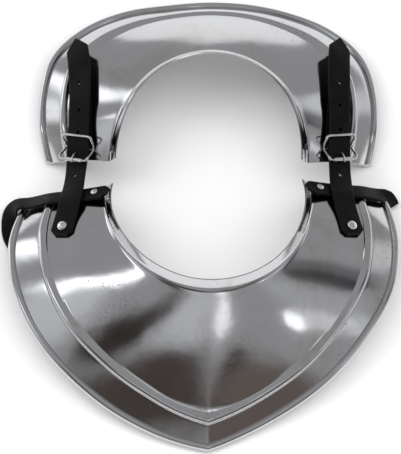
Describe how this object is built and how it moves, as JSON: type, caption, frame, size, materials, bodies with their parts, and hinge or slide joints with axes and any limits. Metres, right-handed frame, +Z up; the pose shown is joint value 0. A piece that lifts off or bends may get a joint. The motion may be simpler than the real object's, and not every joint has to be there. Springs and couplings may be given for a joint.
{
  "type": "steel gorget",
  "caption": "Two-plate steel gorget with a raised neck collar, beaded borders and rolled edges, joined by buckled leather shoulder straps.",
  "frame": {"origin": "on the table surface under the middle of the whole piece", "axes": "+X across the shoulders (the picture's right), +Y from the front tip to the back plate, +Z up from the table"},
  "size_m": [0.3322, 0.4024, 0.0762],
  "materials": {
    "plate": "hand polished mild steel, mirror bright with faint planishing, scratches and pits",
    "strap": "smooth black harness leather, semi-matt, burnished edges",
    "chape": "smooth black harness leather, doubled",
    "arming_strap": "smooth black harness leather, semi-matt",
    "rivet": "nickel plated, domed head",
    "buckle": "nickel plated steel wire",
    "roller": "nickel plated sheet roller"
  },
  "bodies": {
    "root": {"front_plate": "plate", "back_plate": "plate", "strap_left": "strap", "strap_right": "strap", "chape_left": "chape", "chape_right": "chape", "arming_strap_left": "arming_strap", "arming_strap_right": "arming_strap", "strap_rivet_left": "rivet", "strap_rivet_right": "rivet", "arming_rivet_left": "rivet", "arming_rivet_right": "rivet", "chape_rivet_left": "rivet", "chape_rivet_right": "rivet", "buckle_frame_left": "buckle", "buckle_frame_right": "buckle", "buckle_tongue_left": "buckle", "buckle_tongue_right": "buckle", "buckle_roller_left": "roller", "buckle_roller_right": "roller"}
  },
  "joints": []
}
